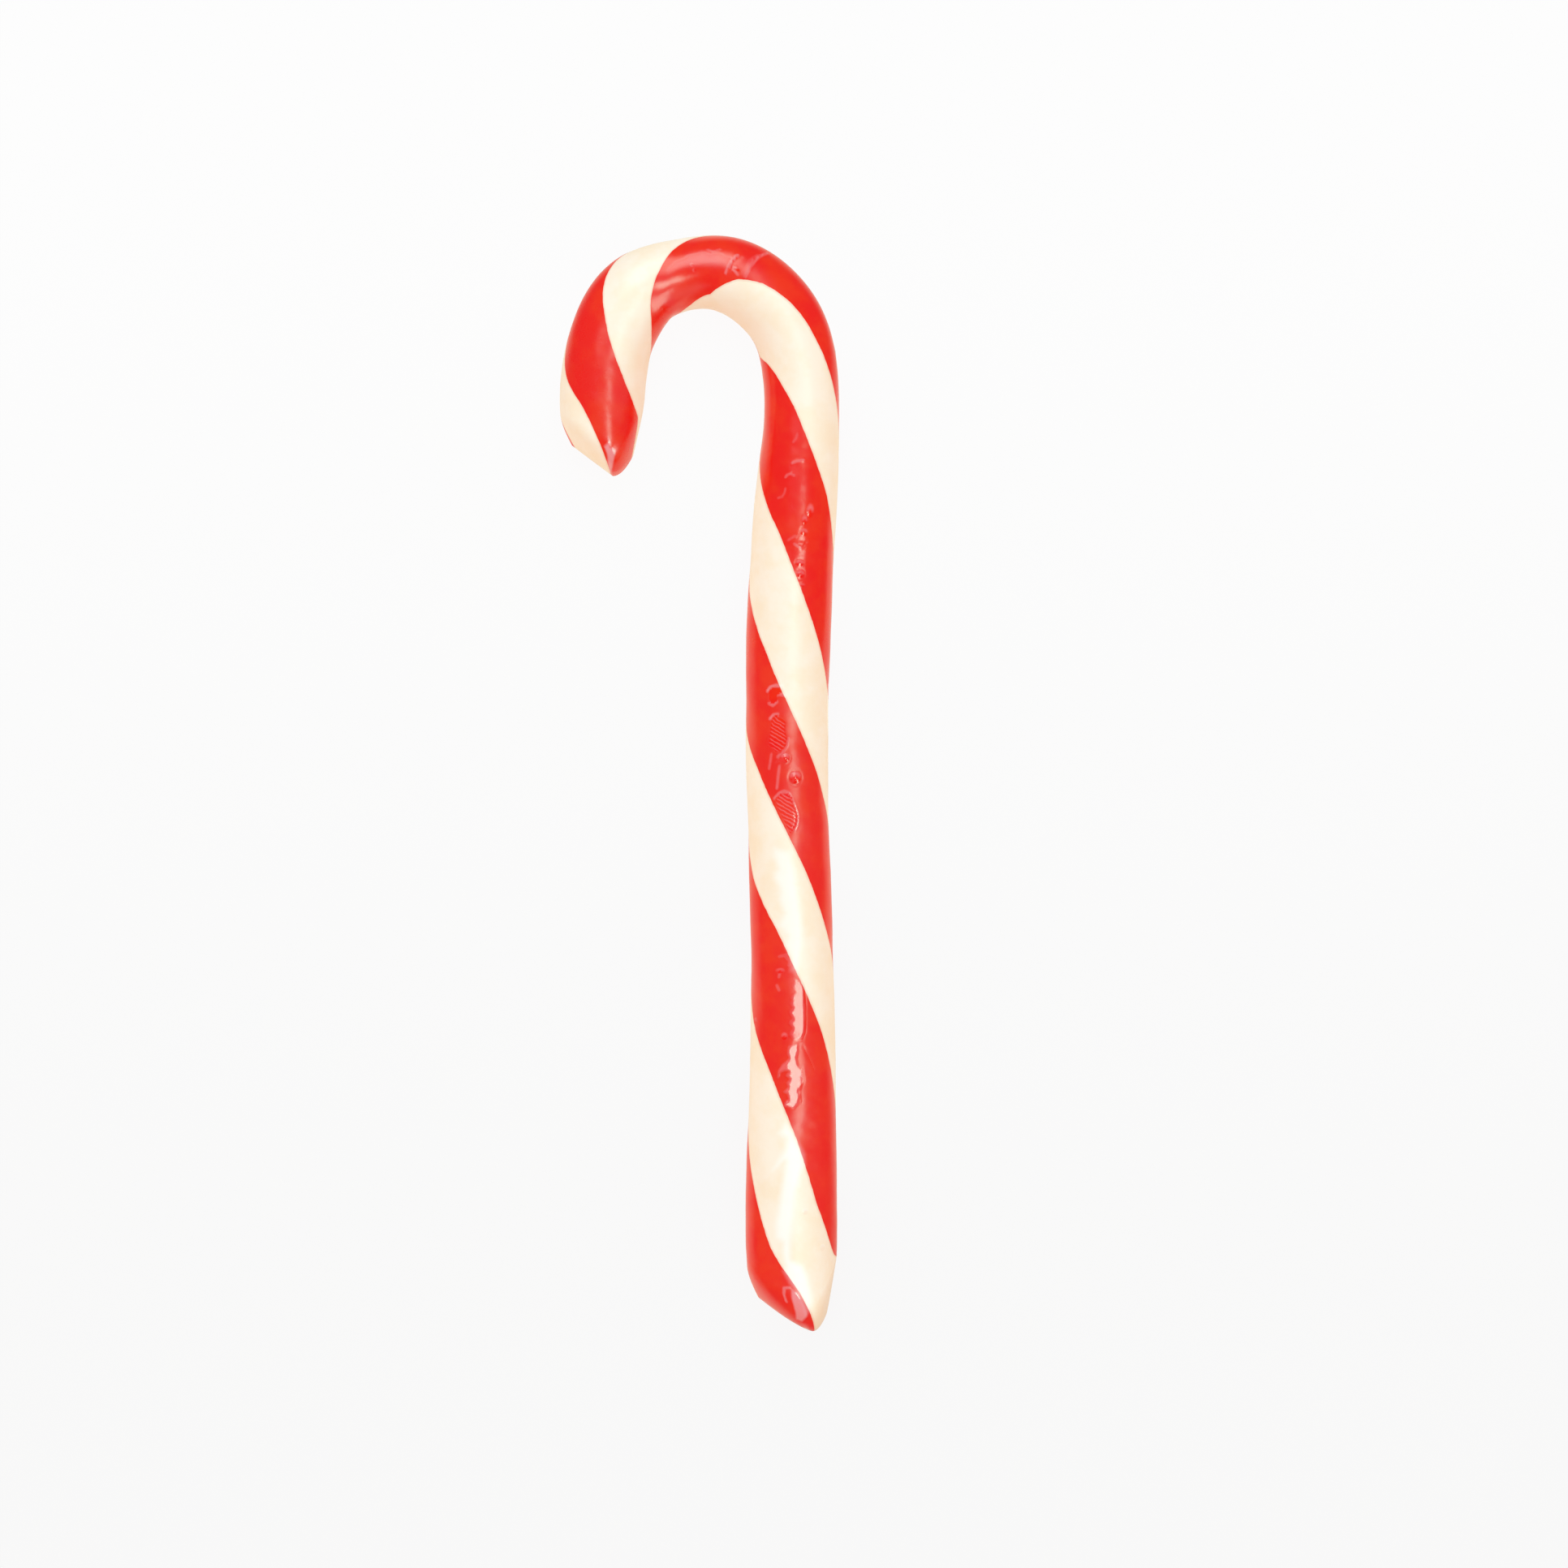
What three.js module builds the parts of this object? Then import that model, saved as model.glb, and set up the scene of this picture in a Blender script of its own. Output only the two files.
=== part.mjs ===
import * as THREE from 'three';

// A candy cane: one stick of pulled sugar, twisted from four strands, bent over into a crook
// and pinched shut at both ends. It lies on its side. The shaft runs along +Y from its base,
// the crook turns over towards -X, and the origin is on the ground under the middle of the cane.
// Lengths are in millimetres and angles in degrees.

const stickLength = 190.4; // along the middle line, from one pinched tip to the other
const sidesAround = 36;
const middleRowStep = 2.3;
const endRowStep = 0.9;
const endRowsReach = 12; // how far from each tip the rows lie close together
const strandCount = 4;
const grooveDepth = 0.16; // between neighbouring strands

// Each list holds [distance along the stick, value], and a smooth curve runs through its values.
const radiusStations = [
  [0, 6.3], [20, 6.28], [42, 5.82], [72, 5.62], [97, 5.82], [112, 5.73], [130, 5.2],
  [139, 5.2], [150, 5.35], [157.3, 4.95], [163.5, 5.64], [172, 5.88], [191, 5.7],
];

// The middle line's direction, counted from +X towards +Y: up the shaft, over the crown, down the hook.
const headingStations = [
  [0, 92.4], [15.5, 90.3], [27.5, 89.1], [45.5, 90.5], [65, 91.8], [94, 88.5], [112, 86.1],
  [124, 86.6], [130, 92.2], [136.3, 103.5], [142.2, 128], [148.3, 151.5], [154.4, 183],
  [160.3, 200.5], [166.4, 235.5], [172.4, 255], [178.4, 266], [191, 271],
];

// How far the strands have turned about the middle line. They turn fastest where the crown is thin.
const twistStations = [
  [0, -20], [30, 86], [51.5, 180], [69.5, 266], [87.5, 360], [106, 446], [126, 540],
  [148, 626], [154.5, 653], [160.5, 721], [167.3, 783], [191, 920],
];

// The middle line's height. The thickest stretches of shaft and hook dip just far enough to touch the ground.
const heightStations = [[0, 6.2], [60, 5.86], [100, 5.74], [191, 5.74]];

// Each end is squeezed to a slanting edge while soft. The edge runs from a corner on one side of the
// stick to a tip on the other, and past the tip the outline rounds back into the stick's side.
const baseEnd = {
  tipSide: 1, // 1 where the tip is on the crook's outer side, -1 where it is on the inner side
  tipAcross: 2.6, // from the middle line to the tip
  cornerAcross: 4.7,
  cornerBack: 4.4, // how much shorter the stick is at the corner than at the tip
  roundBack: 2.6, // how much shorter it is where the rounding ends
  tipNarrowing: 0.26, // share of the half width lost at the edge, on the tip's side and the corner's
  cornerNarrowing: 0.24,
  edgeShare: 0.07, // share of the thickness left at the edge
  pinchReach: 9,
};
const hookEnd = {
  tipSide: -1,
  tipAcross: 1.6,
  cornerAcross: 4.9,
  cornerBack: 4.3,
  roundBack: 3.9,
  tipNarrowing: 0.22,
  cornerNarrowing: 0.15,
  edgeShare: 0.07,
  pinchReach: 7.5,
};
const slantReach = 14; // the rows' slant has died away this far from a tip

function curveThrough(stations) {
  const places = stations.map((station) => station[0]);
  const values = stations.map((station) => station[1]);
  const curve = new THREE.CubicInterpolant(places, values, 1);
  return (distance) => curve.evaluate(distance)[0];
}

const radiusAt = curveThrough(radiusStations);
const headingAt = curveThrough(headingStations);
const twistAt = curveThrough(twistStations);
const heightAt = curveThrough(heightStations);

// The middle line, walked in short straight steps along its changing heading.
function walkMiddleLine() {
  const step = 0.1;
  const stepCount = Math.ceil(stickLength / step);
  const places = [];
  const points = [];
  const point = new THREE.Vector2();
  for (let index = 0; index <= stepCount; index += 1) {
    places.push(index * step);
    points.push(point.x, point.y);
    const heading = THREE.MathUtils.degToRad(headingAt((index + 0.5) * step));
    point.x += step * Math.cos(heading);
    point.y += step * Math.sin(heading);
  }
  return new THREE.LinearInterpolant(places, points, 2);
}

const middleLine = walkMiddleLine();

// A straight round bar of radius 1 along +Y, closed at both ends, with its rows closest at the ends.
function straightBar() {
  const rows = [];
  for (let distance = 0; distance < endRowsReach; distance += endRowStep) {
    rows.push(distance);
  }
  const middleRows = Math.round((stickLength - 2 * endRowsReach) / middleRowStep);
  for (let row = 0; row <= middleRows; row += 1) {
    rows.push(THREE.MathUtils.lerp(endRowsReach, stickLength - endRowsReach, row / middleRows));
  }
  for (let distance = endRowsReach - endRowStep; distance > -endRowStep / 2; distance -= endRowStep) {
    rows.push(stickLength - Math.max(distance, 0));
  }
  const outline = rows.map((distance) => new THREE.Vector2(1, distance));
  outline.unshift(new THREE.Vector2(0, 0));
  outline.push(new THREE.Vector2(0, stickLength));
  return new THREE.LatheGeometry(outline, sidesAround);
}

// Round about the middle line, with a shallow groove wherever two strands meet.
function strandRadius(distance, aroundAngle) {
  const strandAngle = aroundAngle + THREE.MathUtils.degToRad(twistAt(distance));
  const groove = Math.pow((1 + Math.cos(strandCount * strandAngle)) / 2, 2);
  return radiusAt(distance) + grooveDepth * (0.3 - groove);
}

// How far the edge lies back from the tip, at a place across the stick measured towards the tip's side.
function edgeBack(end, across) {
  if (across < end.tipAcross) {
    return end.cornerBack * (end.tipAcross - across) / (end.tipAcross + end.cornerAcross);
  }
  return end.roundBack * Math.pow((across - end.tipAcross) / (end.cornerAcross - end.tipAcross), 2);
}

// Squeezes a place near one end: thinner and narrower towards the edge, and slanted along it.
function pinch(end, fromTip, across, up) {
  const open = Math.min(fromTip / end.pinchReach, 1);
  const thickness = end.edgeShare + (1 - end.edgeShare) * Math.pow(Math.sin(open * Math.PI / 2), 0.85);
  const towardsTip = across * end.tipSide > 0;
  const narrowing = towardsTip ? end.tipNarrowing : end.cornerNarrowing;
  const width = 1 - narrowing * Math.pow(1 - open, towardsTip ? 2 : 3);
  const slant = 1 - THREE.MathUtils.smoothstep(fromTip, 0, slantReach);
  const squeezedAcross = across * width;
  const back = slant * edgeBack(end, squeezedAcross * end.tipSide);
  return { back, across: squeezedAcross, up: up * thickness };
}

// Carries one place of the straight bar to where it is on the bent cane.
function bentPlace(barPoint) {
  const distance = barPoint.y;
  const nearBase = distance < stickLength / 2;
  const end = nearBase ? baseEnd : hookEnd;
  const fromTip = nearBase ? distance : stickLength - distance;
  const isEndMiddle = Math.hypot(barPoint.x, barPoint.z) < 0.5; // these two places go to the tips
  const aroundAngle = Math.atan2(barPoint.x, barPoint.z);
  const radius = strandRadius(distance, aroundAngle);
  const startAcross = isEndMiddle ? end.tipSide * end.tipAcross / (1 - end.tipNarrowing) : radius * barPoint.x;
  const place = pinch(end, fromTip, startAcross, isEndMiddle ? 0 : radius * barPoint.z);
  const along = nearBase ? distance + place.back : distance - place.back;
  const [x, y] = middleLine.evaluate(along);
  const heading = THREE.MathUtils.degToRad(headingAt(along));
  const height = Math.max(heightAt(along) + place.up, 0);
  return new THREE.Vector3(
    x + place.across * Math.sin(heading),
    y - place.across * Math.cos(heading),
    height,
  );
}

function caneGeometry() {
  const geometry = straightBar();
  const position = geometry.attributes.position;
  const point = new THREE.Vector3();
  for (let index = 0; index < position.count; index += 1) {
    point.fromBufferAttribute(position, index);
    const place = bentPlace(point);
    position.setXYZ(index, place.x, place.y, place.z);
  }
  geometry.computeBoundingBox();
  const middle = geometry.boundingBox.getCenter(new THREE.Vector3());
  geometry.translate(-middle.x, -middle.y, 0);
  geometry.computeVertexNormals();
  return geometry;
}

const candy = new THREE.MeshStandardMaterial({ color: 0xed2224, roughness: 0.22, metalness: 0 });
const cane = new THREE.Mesh(caneGeometry(), candy);
cane.name = 'cane';

const candyCane = new THREE.Group();
candyCane.add(cane);

export default candyCane;
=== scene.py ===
import math

import bpy
import numpy as np
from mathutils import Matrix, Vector


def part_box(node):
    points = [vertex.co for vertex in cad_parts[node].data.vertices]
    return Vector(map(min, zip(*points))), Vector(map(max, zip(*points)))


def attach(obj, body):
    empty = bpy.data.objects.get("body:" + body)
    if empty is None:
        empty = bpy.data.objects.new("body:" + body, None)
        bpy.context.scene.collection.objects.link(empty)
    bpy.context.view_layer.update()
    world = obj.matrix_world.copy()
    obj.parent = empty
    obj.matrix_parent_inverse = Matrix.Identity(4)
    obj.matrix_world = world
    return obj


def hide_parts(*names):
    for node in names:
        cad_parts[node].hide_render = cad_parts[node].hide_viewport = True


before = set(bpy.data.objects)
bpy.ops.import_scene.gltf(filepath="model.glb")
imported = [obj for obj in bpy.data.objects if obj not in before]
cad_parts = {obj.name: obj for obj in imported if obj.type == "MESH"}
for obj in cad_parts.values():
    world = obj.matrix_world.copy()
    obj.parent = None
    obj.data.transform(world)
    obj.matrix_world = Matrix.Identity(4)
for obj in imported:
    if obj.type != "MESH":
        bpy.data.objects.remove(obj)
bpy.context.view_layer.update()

caneLow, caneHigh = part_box("cane")
caneMiddle = (caneLow + caneHigh) / 2
mm = 0.001
print("frame loaded, cane box", [round(v * 1000, 1) for v in caneHigh - caneLow], "mm")


def curveThrough(stations):  # a smooth curve through [place, value] pairs, as in the solid
    places, values = np.array(stations, float).T
    secants = np.diff(values) / np.diff(places)
    slopes = np.concatenate(([secants[0]], (secants[1:] + secants[:-1]) / 2, [secants[-1]]))

    def valueAt(place):
        place = np.asarray(place, float)
        index = np.clip(np.searchsorted(places, place, side="right") - 1, 0, len(places) - 2)
        step = places[index + 1] - places[index]
        part = (place - places[index]) / step
        rise = part * part * (3 - 2 * part)
        start = part * (1 - part) ** 2 * step * slopes[index]
        finish = part * part * (part - 1) * step * slopes[index + 1]
        return values[index] + (values[index + 1] - values[index]) * rise + start + finish

    return valueAt


def smoothStep(value, low, high):
    part = np.clip((value - low) / (high - low), 0, 1)
    return part * part * (3 - 2 * part)


def waviness(waves, along, around):  # plane waves that run all ways over the unrolled surface
    dice = np.random.default_rng(waves["seed"])
    total = 0
    for _ in range(waves["count"]):
        length = dice.uniform(waves["shortest"], waves["longest"])
        heading = dice.uniform(0, math.pi)
        shift = dice.uniform(0, 2 * math.pi)
        run = along * math.cos(heading) + around * math.sin(heading)
        total = total + np.sin(run * 2 * math.pi / length + shift)
    return waves["height"] * (total / math.sqrt(waves["count"]))


# The cane's shape, in millimetres and degrees. Lists hold [place along the stick, value]. The stick bends,
# swells and twists as the solid does. Its grooves are shallower, and its pinched ends fuller and more rounded.

stick = {
    "length": 190.4,
    "radius": [
        [0, 6.3], [20, 6.28], [42, 5.82], [72, 5.62], [97, 5.82], [112, 5.73], [130, 5.2], [139, 5.2],
        [150, 5.35], [157.3, 4.95], [163.5, 5.64], [172, 5.88], [191, 5.7],
    ],
    "heading": [
        [0, 92.4], [15.5, 90.3], [27.5, 89.1], [45.5, 90.5], [65, 91.8], [94, 88.5], [112, 86.1],
        [124, 86.6], [130, 92.2], [136.3, 103.5], [142.2, 128], [148.3, 151.5], [154.4, 183],
        [160.3, 200.5], [166.4, 235.5], [172.4, 255], [178.4, 266], [191, 271],
    ],
    "twist": [
        [0, -20], [30, 86], [51.5, 180], [69.5, 266], [87.5, 360], [106, 446], [126, 540], [148, 626],
        [154.5, 653], [160.5, 721], [167.3, 783], [191, 920],
    ],
    "height": [[0, 6.2], [60, 5.86], [100, 5.74], [191, 5.74]],
    "meanRadius": 5.9,
    "strandCount": 4,
    "grooveDepth": 0.1,
    "grooveBalance": 0.3,  # the share of the groove's depth that the strands stand proud
    "waves": {"seed": 11, "count": 14, "shortest": 5, "longest": 18, "height": 0.03},
    "ripples": {"seed": 12, "count": 18, "shortest": 1.4, "longest": 3.5, "height": 0.008},
    "calmShare": 0.75,  # the crown was drawn out and is smoother, from within the first stretch to the second
    "calmStart": [138, 148],
    "calmEnd": [161, 168],
    "tipRows": [0, 0.02, 0.06, 0.12, 0.2, 0.3, 0.42, 0.56],
    "rowsEnd": 0.8,  # the wider rows stop this far from the hook's tip
    "rowStep": [
        [0, 0.24], [52, 0.25], [57, 0.6], [64, 0.6], [68, 0.25], [90, 0.25], [94, 0.6], [99, 0.6],
        [103, 0.25], [122, 0.26], [127, 0.6], [141, 0.6], [146, 0.26], [160, 0.26], [165, 0.45],
        [191, 0.34],
    ],
    "columnSteps": [[-180, -120, 5], [-120, -60, 3.75], [-60, 60, 1.5], [60, 120, 3.75], [120, 180, 5]],
}

# Where each strand's edge runs, in degrees round the twisted stick. No strand keeps quite the same width.
strandEdges = {
    "whiteStart": [
        [0, 17], [3, 14], [5.5, 9], [9, -2], [12, -6], [74, -9], [84, -3], [94, -1], [102, -9],
        [150, 0], [158, 8], [162, 3], [168, 9], [191, 9],
    ],
    "redStart": [
        [0, 82], [12, 81], [18, 76], [27, 81], [36, 80], [43, 73], [92, 84], [110, 86], [117, 76],
        [121, 71], [126, 78], [163, 102], [169, 92], [180, 95], [183, 100], [185, 105], [187, 112],
        [189, 120], [191, 128],
    ],
    "secondWhiteStart": [
        [0, 176], [34, 175], [42, 179], [56, 179], [63, 170], [110, 177], [116, 182], [124, 178],
        [128, 175], [130.4, 170], [132.6, 166], [134.6, 158], [136.4, 139], [142, 150], [150, 172],
        [176, 188], [182, 179], [191, 179],
    ],
    "secondRedStart": [
        [0, 261], [56, 257], [64, 261], [78, 264], [83, 258], [129, 258], [137, 255], [146, 265],
        [149, 263], [153, 242], [158, 254], [164, 260], [191, 261],
    ],
}

# Each end is squeezed to a slanting edge. The edge runs from a corner on one side of the stick to a tip on the
# other, and past the tip the outline rounds back into the stick's side.
baseEnd = {
    "tipSide": 1,  # 1 where the tip is on the crook's outer side, -1 where it is on the inner side
    "tipAcross": 2.6,  # from the middle line to the tip
    "cornerAcross": 4.7,
    "cornerBack": 4.9,  # how much shorter the stick is at the corner than at the tip
    "edgeCurve": 1.28,  # 1 for a straight edge, more for one that bends near the corner
    "roundBack": 2.6,  # how much shorter the stick is where the rounding ends
    "tipNarrowing": 0.26,  # share of the half width lost at the edge, on the tip's side and the corner's
    "cornerNarrowing": 0.24,
    "pinchReach": 5.5,
}
hookEnd = {
    "tipSide": -1,
    "tipAcross": 1.6,
    "cornerAcross": 4.9,
    "cornerBack": 4.9,
    "edgeCurve": 1.0,
    "roundBack": 3.9,
    "tipNarrowing": 0.22,
    "cornerNarrowing": 0.29,
    "pinchReach": 5,
}
pinching = {
    "edgeShare": 0.07,  # share of the thickness left at the edge
    "fullness": [2.4, 0.6],  # the powers that round the pinched end, seen from the side
    "edgeRounding": 0.5,  # the last stretch before the edge, which is rounded off
    "edgeLoss": 0.98,
    "slantReach": 14,  # the rows' slant has died away this far from a tip
}

radiusAt = curveThrough(stick["radius"])
headingAt = curveThrough(stick["heading"])
twistAt = curveThrough(stick["twist"])
heightAt = curveThrough(stick["height"])


def middleLine():
    step = 0.1
    places = np.arange(0, stick["length"] + step, step)
    heading = np.radians(headingAt(places[:-1] + step / 2))
    x = np.concatenate(([0], np.cumsum(np.cos(heading) * step)))
    y = np.concatenate(([0], np.cumsum(np.sin(heading) * step)))
    return places, x, y


def turnedBy(angle):  # the same angle between -180 and 180 degrees
    return np.mod(angle + 180, 360) - 180


def redGap(along, strandAngle):  # degrees to the nearest strand edge, positive inside the red strands
    white, red, secondWhite, secondRed = [
        np.interp(along, *np.array(stations, float).T) for stations in strandEdges.values()]
    firstRed = np.minimum(turnedBy(strandAngle - red), turnedBy(secondWhite - strandAngle))
    otherRed = np.minimum(turnedBy(strandAngle - secondRed), turnedBy(white - strandAngle))
    return np.maximum(firstRed, otherRed)


def pinch(end, fromTip, across, up):
    opened = np.minimum(fromTip / end["pinchReach"], 1)
    bend, root = pinching["fullness"]
    thickness = pinching["edgeShare"] + (1 - pinching["edgeShare"]) * (1 - (1 - opened) ** bend) ** root
    tipLoss = end["tipNarrowing"] * (1 - opened) ** 2
    cornerLoss = end["cornerNarrowing"] * (1 - opened) ** 3
    across = across * (1 - np.where(across * end["tipSide"] > 0, tipLoss, cornerLoss))
    side = across * end["tipSide"]
    fromTipSide = np.maximum(end["tipAcross"] - side, 0) / (end["tipAcross"] + end["cornerAcross"])
    straight = end["cornerBack"] * fromTipSide ** end["edgeCurve"]
    rounded = end["roundBack"] * ((side - end["tipAcross"]) / (end["cornerAcross"] - end["tipAcross"])) ** 2
    slant = 1 - smoothStep(fromTip, 0, pinching["slantReach"])
    back = slant * np.where(side < end["tipAcross"], straight, rounded)
    edge = np.clip(fromTip / pinching["edgeRounding"], 0, 1)
    return back, across, up * thickness * np.sqrt(1 - (1 - edge) ** 2 * pinching["edgeLoss"])


# Marks left in the skin. Places are [along the stick, around it from the top line towards the outer side].
#
# Films are smooth glossy spots. "gloss" runs from 0 to 1, "rise" is how far the spot stands proud, a whitening
# share pales it, partly as frost and mostly as a painted highlight where the lights' glints fall, and "comb" is
# the depth of fine parallel lines pressed into it. A spot with "faces" is flat, and faces the way that the
# round stick does at that place. A spot with a painted sheen only pales the sugar, as a painted highlight with
# soft edges.
films = [
    # Painted highlight: the clear films are glossy and are also whitened as the lights' glint on them.
    {"name": "lower clear film", "gloss": 0.7, "rise": 0.03, "faces": 0.7, "frostAndPaintedGlint": 0.25, "outline": [
        [48.1, 1.5], [45.4, 1.6], [43.4, 1.6], [41.8, 1.5], [41.1, 1.2], [40.6, 0.4], [41.0, 0.0],
        [41.6, -0.4], [42.4, 0.2], [43.1, -0.5], [43.6, 0.2], [44.5, -0.4], [45.2, 0.2], [45.8, -0.3],
        [46.2, 0.2], [46.5, -0.2], [47.2, 0.6], [48.2, 0.0], [48.6, 0.5], [49.2, 0.2], [48.8, 0.9]]},
    {"name": "lowest clear film", "gloss": 0.7, "rise": 0.03, "faces": 0.9, "frostAndPaintedGlint": 0.35, "outline": [
        [40.1, 0.6], [39.3, 0.7], [38.3, 0.4], [37.4, 0.6], [36.9, 1.0], [36.3, 1.2], [35.2, 1.3],
        [34.4, 1.1], [33.8, 0.7], [33.1, 0.9], [32.1, 0.8], [31.4, 0.1], [31.7, -0.3], [31.6, -1.1],
        [32.2, -1.0], [32.5, -0.4], [33.4, -0.7], [33.6, -1.2], [34.3, -0.5], [34.8, -0.8],
        [35.4, -0.3], [35.9, -0.9], [36.5, -0.3], [36.6, -1.1], [36.3, -1.8], [35.5, -2.1],
        [36.5, -2.0], [37.4, -1.4], [37.9, -0.7], [38.2, -0.4], [38.9, -0.7], [39.8, -0.6]]},
    # Painted sheen: the pale runs stand in for the lights' highlight on the base and on the shaft.
    {"name": "pale run on the base", "paintedSheen": 0.95, "outline": [
        [28.1, 0.1], [25.1, 1.8], [23.6, 1.9], [20.6, 0.9], [15.4, 0.2], [13.0, -0.1], [10.5, 0.0],
        [9.8, 1.6], [7.9, 2.4], [5.1, 2.9], [3.4, 2.6], [2.7, 1.9], [3.6, 1.7], [5.7, 0.7],
        [6.5, -0.3], [8.3, -1.2], [9.6, -1.0], [11.3, -1.4], [13.0, -1.3], [13.6, -2.3], [15.4, -2.4],
        [17.3, -1.9], [19.5, -1.6], [22.3, -1.2], [24.1, -1.0], [22.8, -2.7], [25.8, -1.1],
        [27.3, -0.8], [28.0, -1.8], [29.5, -0.9]]},
    {"name": "pale run on the shaft", "paintedSheen": 0.75, "outline": [
        [67.3, -2.2], [66.6, 0.2], [64.0, 0.9], [61.0, 1.1], [57.6, 1.6], [54.2, 1.7], [49.8, 0.8],
        [50.2, -0.3], [52.0, -0.2], [53.7, -1.0], [55.0, -0.7], [56.6, -2.0], [58.2, -1.1],
        [59.9, -1.8], [61.0, -1.4], [63.4, -2.6], [64.4, -1.8], [65.6, -2.2]]},
    # Painted highlight: a glossy pink spot, whitened as the lights' glint.
    {"name": "pink spot by the base's tip", "gloss": 1.0, "rise": 0.02, "frostAndPaintedGlint": 0.9, "outline": [
        [5.8, -0.1], [5.5, 0.7], [3.8, 1.7], [2.6, 2.1], [1.4, 1.4], [1.3, 0.5], [2.3, 0.4],
        [4.4, -0.1]]},
    {"name": "lip at the base's tip", "gloss": 1.0, "rise": 0.1, "frostAndPaintedGlint": 0.2, "outline": [
        [0.9, 1.2], [1.2, 2.2], [0.4, 2.8], [0.0, 2.3]]},
    {"name": "hollow under the middle ring", "gloss": 0.9, "rise": -0.05, "frostAndPaintedGlint": 0, "outline": [
        [88.7, -2.6], [89.0, -1.9], [88.9, -1.0], [88.3, -0.6], [88.1, -1.5], [87.3, -1.4],
        [86.9, -1.8], [86.8, -2.2], [87.4, -2.5]]},
    {"name": "upper thumb print", "gloss": 0.75, "rise": -0.02, "frostAndPaintedGlint": 0, "comb": 0.8, "outline": [
        [84.7, -2.2], [85.3, -1.6], [84.9, -0.8], [84.3, -0.2], [83.2, -0.3], [82.1, 0.0],
        [81.1, -0.2], [80.3, -0.9], [80.3, -1.6], [81.3, -2.6], [83.2, -2.4]]},
    {"name": "tailed drop", "gloss": 1.0, "rise": 0.04, "frostAndPaintedGlint": 0.1, "outline": [
        [78.8, -1.6], [79.3, -1.1], [79.7, -0.8], [79.9, -0.2], [79.7, 0.3], [79.1, 0.2],
        [78.7, -0.3], [78.9, -0.8], [79.0, -1.2]]},
    {"name": "round drop", "gloss": 1.0, "rise": 0.03, "frostAndPaintedGlint": 0.1, "outline": [
        [77.4, 1.1], [77.0, 1.8], [76.4, 1.8], [75.9, 1.0], [76.1, 0.4], [76.9, 0.4]]},
    {"name": "lower thumb print", "gloss": 0.85, "rise": -0.03, "frostAndPaintedGlint": 0.05, "comb": 1.0, "outline": [
        [73.9, -1.7], [74.4, -1.2], [74.7, -0.5], [74.4, 0.2], [74.0, 0.6], [72.9, 0.7], [72.3, 1.0],
        [71.5, 1.2], [70.4, 1.1], [69.7, 0.8], [69.0, 0.2], [70.1, -0.3], [71.5, -0.9],
        [72.8, -1.6]]},
    # Painted sheen: the crown's highlight, and the reflection on the crown's low side.
    {"name": "shine on the crown", "paintedSheen": 0.22, "outline": [
        [159.1, 0.5], [157.8, 1.5], [156.6, 1.7], [156.0, 2.1], [154.8, 2.2], [154.3, 2.5],
        [153.3, 2.0], [152.3, 2.4], [151.4, 1.9], [150.9, 2.0], [150.8, 0.5], [152.5, 0.2],
        [154.4, 0.3], [156.4, 0.6], [157.9, 0.4], [159.1, 0.0]]},
    {"name": "low side of the crown", "paintedSheen": 0.12, "outline": [
        [161.5, -3.7], [158.2, -2.3], [155.2, -1.9], [153.2, -2.4], [155.8, -3.9], [158.3, -5.7],
        [160.8, -5.3]]},
    # Painted highlight: the glint by the hook's tip is whitened into the colour.
    {"name": "glint at the hook's tip", "gloss": 1.0, "rise": 0.02, "frostAndPaintedGlint": 1.0, "outline": [
        [185.6, -1.2], [186.2, -1.5], [186.7, -1.1], [187.3, -0.7], [188.2, -1.2], [189.6, -1.3],
        [190.2, -1.6], [189.7, -1.9], [188.4, -2.1], [187.2, -2.3], [186.9, -1.8], [187.0, -1.4]]},
    # Painted sheen: a faint one on the hook's side.
    {"name": "smooth side of the hook", "paintedSheen": 0.05, "outline": [
        [170.8, 1.9], [172.5, 0.0], [175.4, 0.1], [178.1, -1.3], [182.7, -0.9], [184.0, -3.0],
        [178.0, -5.0], [170.0, -5.0], [168.0, -2.0]]},
]

# [along, around, half length, half width, height] of small glossy drops
dropMarks = [
    [79.4, -0.3, 0.6, 0.6, 0.2],
    [76.7, 1.1, 0.8, 0.75, 0.26],
    [113.4, 2.1, 0.9, 0.45, 0.06],
    [112.1, 1.4, 0.6, 0.32, 0.05],
    [110.5, 1.4, 0.5, 0.45, 0.07],
    [106.2, 1.1, 0.4, 0.55, 0.08],
    [104.7, 1.3, 0.5, 0.5, 0.09],
    [149.7, 0.6, 0.5, 0.22, 0.08],
    [155.6, 0.6, 0.22, 0.22, 0.04],
    [155.4, -0.2, 0.2, 0.2, 0.04],
    [41.2, -1.2, 0.45, 0.35, 0.08],
    [50.2, -1.7, 0.3, 0.5, 0.06],
    [103.2, 1.6, 0.2, 0.25, 0.06],
    [43.2, -6.4, 0.4, 0.3, 0.08],
    [12.0, 4.6, 0.5, 0.4, 0.03],
    [17.2, 1.9, 0.4, 0.4, 0.03],
]

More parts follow.
